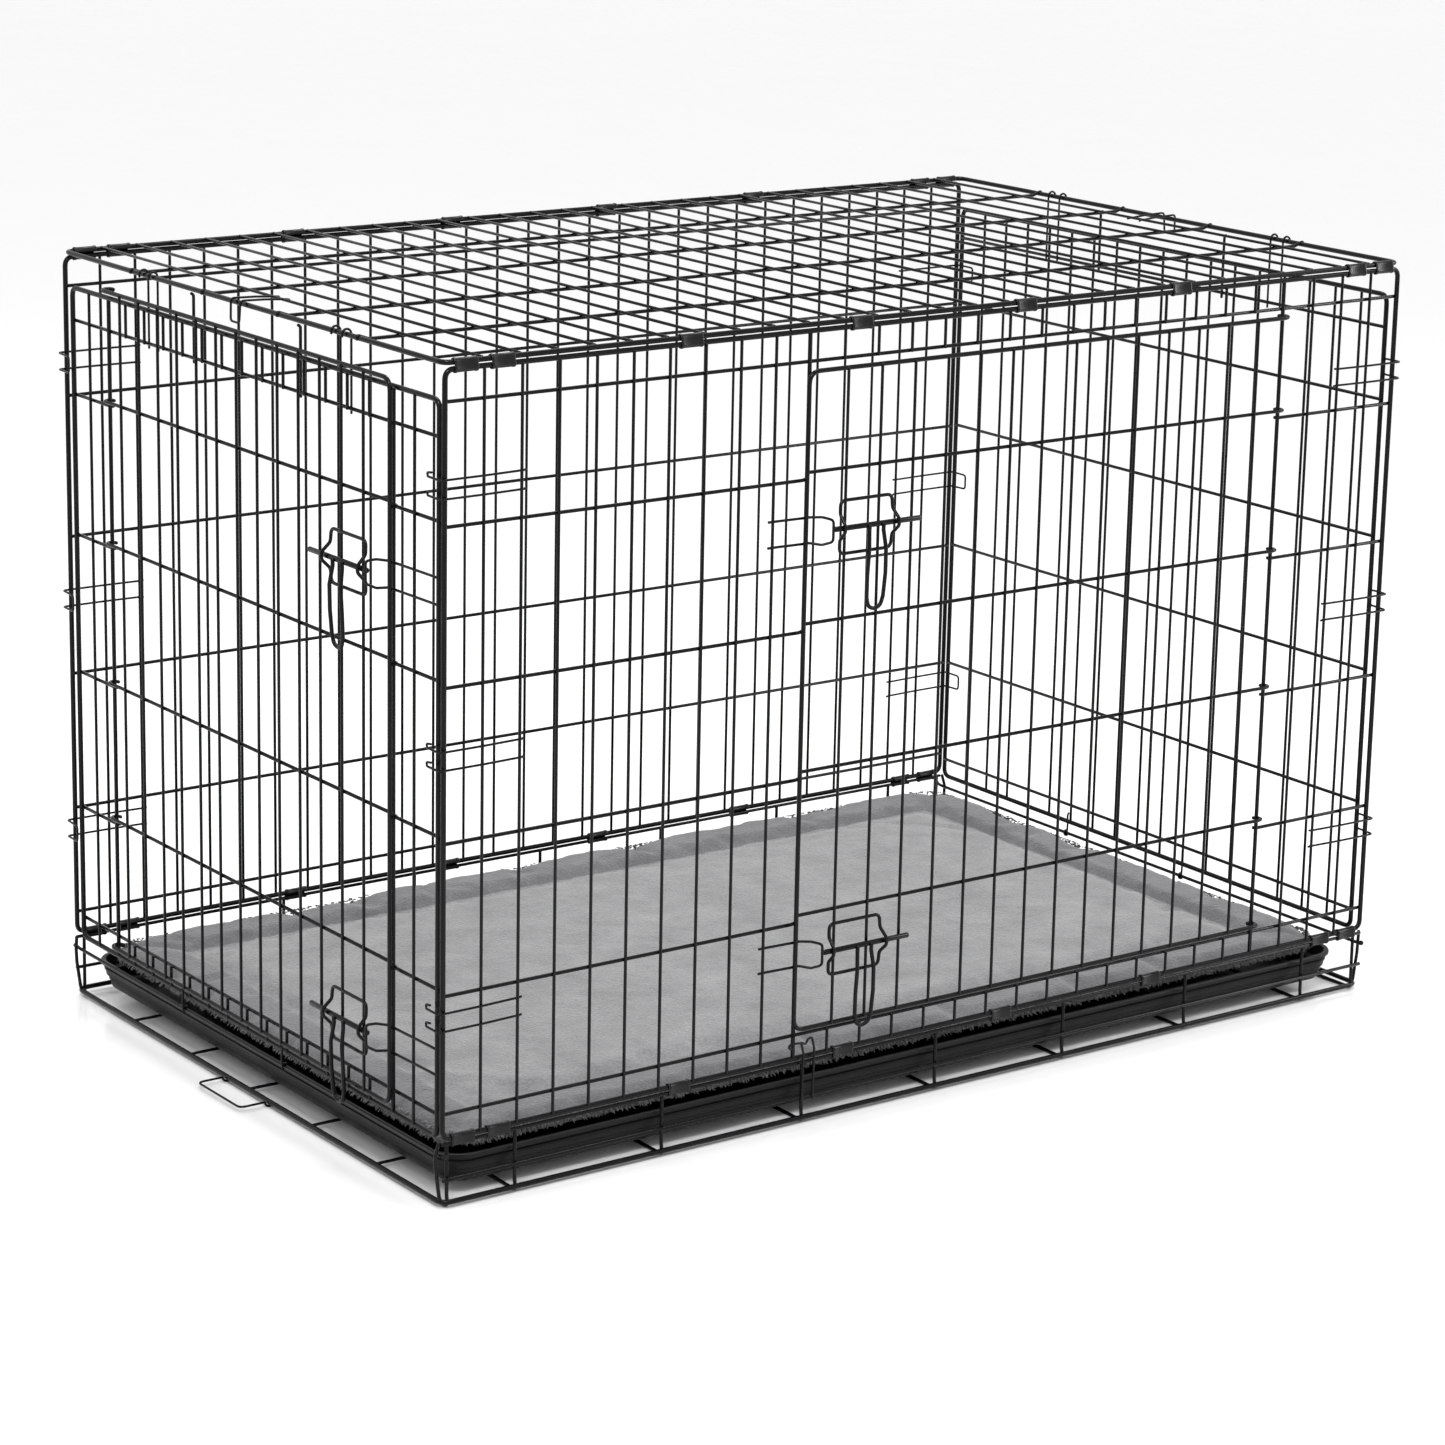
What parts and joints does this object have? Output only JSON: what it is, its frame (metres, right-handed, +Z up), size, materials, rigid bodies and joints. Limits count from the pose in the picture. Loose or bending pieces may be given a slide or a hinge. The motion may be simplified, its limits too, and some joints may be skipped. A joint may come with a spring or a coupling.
{
  "type": "wire dog crate",
  "caption": "Folding wire dog crate with a front and an end door, slide-bolt latches, fold-up end panels, slide-out tray and a plush mat.",
  "frame": {"origin": "centre of the whole object's bounding box at floor level, which is 13 mm to the left of the middle of the wire panels, because the tray stop lies out at the left end, and 7 mm in front of it, because the latches stand out at the front", "axes": "+X along the long side, away from the end door; +Y from the front door side to the back; +Z up"},
  "size_m": [1.2588, 0.7792, 0.8325],
  "materials": {
    "black_coated_wire": "glossy black electro-coated steel wire",
    "black_sheet_clip": "black coated sheet steel",
    "black_plastic_tray": "satin moulded plastic",
    "grey_plush_mat": "light grey plush"
  },
  "bodies": {
    "crate": {"base_frame": "black_coated_wire", "front_panel": "black_coated_wire", "back_panel": "black_coated_wire", "top_panel": "black_coated_wire", "front_catch": "black_coated_wire", "hinge_clip_base_back_1": "black_sheet_clip", "hinge_clip_base_back_2": "black_sheet_clip", "hinge_clip_base_back_3": "black_sheet_clip", "hinge_clip_base_back_4": "black_sheet_clip", "hinge_clip_base_back_5": "black_sheet_clip", "hinge_clip_base_back_6": "black_sheet_clip", "hinge_clip_base_back_7": "black_sheet_clip", "hinge_clip_base_back_8": "black_sheet_clip", "hinge_clip_base_front_1": "black_sheet_clip", "hinge_clip_base_front_2": "black_sheet_clip", "hinge_clip_base_front_3": "black_sheet_clip", "hinge_clip_base_front_4": "black_sheet_clip", "hinge_clip_base_front_5": "black_sheet_clip", "hinge_clip_base_front_6": "black_sheet_clip", "hinge_clip_base_front_7": "black_sheet_clip", "hinge_clip_base_front_8": "black_sheet_clip", "hinge_clip_top_back_1": "black_sheet_clip", "hinge_clip_top_back_2": "black_sheet_clip", "hinge_clip_top_back_3": "black_sheet_clip", "hinge_clip_top_back_4": "black_sheet_clip", "hinge_clip_top_back_5": "black_sheet_clip", "hinge_clip_top_back_6": "black_sheet_clip", "hinge_clip_top_back_7": "black_sheet_clip", "hinge_clip_top_back_8": "black_sheet_clip", "hinge_clip_top_front_1": "black_sheet_clip", "hinge_clip_top_front_2": "black_sheet_clip", "hinge_clip_top_front_3": "black_sheet_clip", "hinge_clip_top_front_4": "black_sheet_clip", "hinge_clip_top_front_5": "black_sheet_clip", "hinge_clip_top_front_6": "black_sheet_clip", "hinge_clip_top_front_7": "black_sheet_clip", "hinge_clip_top_front_8": "black_sheet_clip"},
    "left_end": {"left_end_panel": "black_coated_wire"},
    "right_end": {"right_end_panel": "black_coated_wire"},
    "front_door": {"front_door": "black_coated_wire", "front_bolt_guide_upper": "black_coated_wire", "front_bolt_guide_lower": "black_coated_wire"},
    "left_door": {"left_door": "black_coated_wire", "left_bolt_guide_upper": "black_coated_wire", "left_bolt_guide_lower": "black_coated_wire"},
    "front_bolt_upper": {"front_bolt_upper": "black_coated_wire"},
    "front_bolt_lower": {"front_bolt_lower": "black_coated_wire"},
    "left_bolt_upper": {"left_bolt_upper": "black_coated_wire"},
    "left_bolt_lower": {"left_bolt_lower": "black_coated_wire"},
    "tray": {"tray": "black_plastic_tray"},
    "mat": {"mat": "grey_plush_mat"},
    "tray_stop": {"tray_stop": "black_coated_wire"}
  },
  "joints": [
    {"name": "front_door_hinge", "type": "hinge", "parent": "crate", "child": "front_door", "pos_m": [0.45319, -0.3696, 0.443], "axis": [0, 0, -1], "range_deg": [-150, 0]},
    {"name": "left_end_fold", "type": "hinge", "parent": "crate", "child": "left_end", "pos_m": [-0.5944, 0.0074, 0.8265], "axis": [0, -1, 0], "range_deg": [0, 66]},
    {"name": "right_end_fold", "type": "hinge", "parent": "crate", "child": "right_end", "pos_m": [0.6208, 0.0074, 0.8265], "axis": [0, 1, 0], "range_deg": [0, 76]},
    {"name": "left_door_hinge", "type": "hinge", "parent": "left_end", "child": "left_door", "pos_m": [-0.5924, 0.29129, 0.44], "axis": [0, 0, 1], "range_deg": [-150, 0]},
    {"name": "front_bolt_upper_slide", "type": "slide", "parent": "front_door", "child": "front_bolt_upper", "axis": [-1, 0, 0], "range_m": [0, 0.0255]},
    {"name": "front_bolt_lower_slide", "type": "slide", "parent": "front_door", "child": "front_bolt_lower", "axis": [-1, 0, 0], "range_m": [0, 0.0255]},
    {"name": "left_bolt_upper_slide", "type": "slide", "parent": "left_door", "child": "left_bolt_upper", "axis": [0, -1, 0], "range_m": [0, 0.0255]},
    {"name": "left_bolt_lower_slide", "type": "slide", "parent": "left_door", "child": "left_bolt_lower", "axis": [0, -1, 0], "range_m": [0, 0.0255]},
    {"name": "tray_slide", "type": "slide", "parent": "crate", "child": "tray", "axis": [1, 0, 0], "range_m": [-1.1, 0]},
    {"name": "mat_lift", "type": "slide", "parent": "crate", "child": "mat", "axis": [0, 0, 1], "range_m": [0, 0.1]},
    {"name": "tray_stop_hinge", "type": "hinge", "parent": "crate", "child": "tray_stop", "pos_m": [-0.5944, 0.0074, 0.006], "axis": [0, 1, 0], "range_deg": [0, 90]}
  ]
}
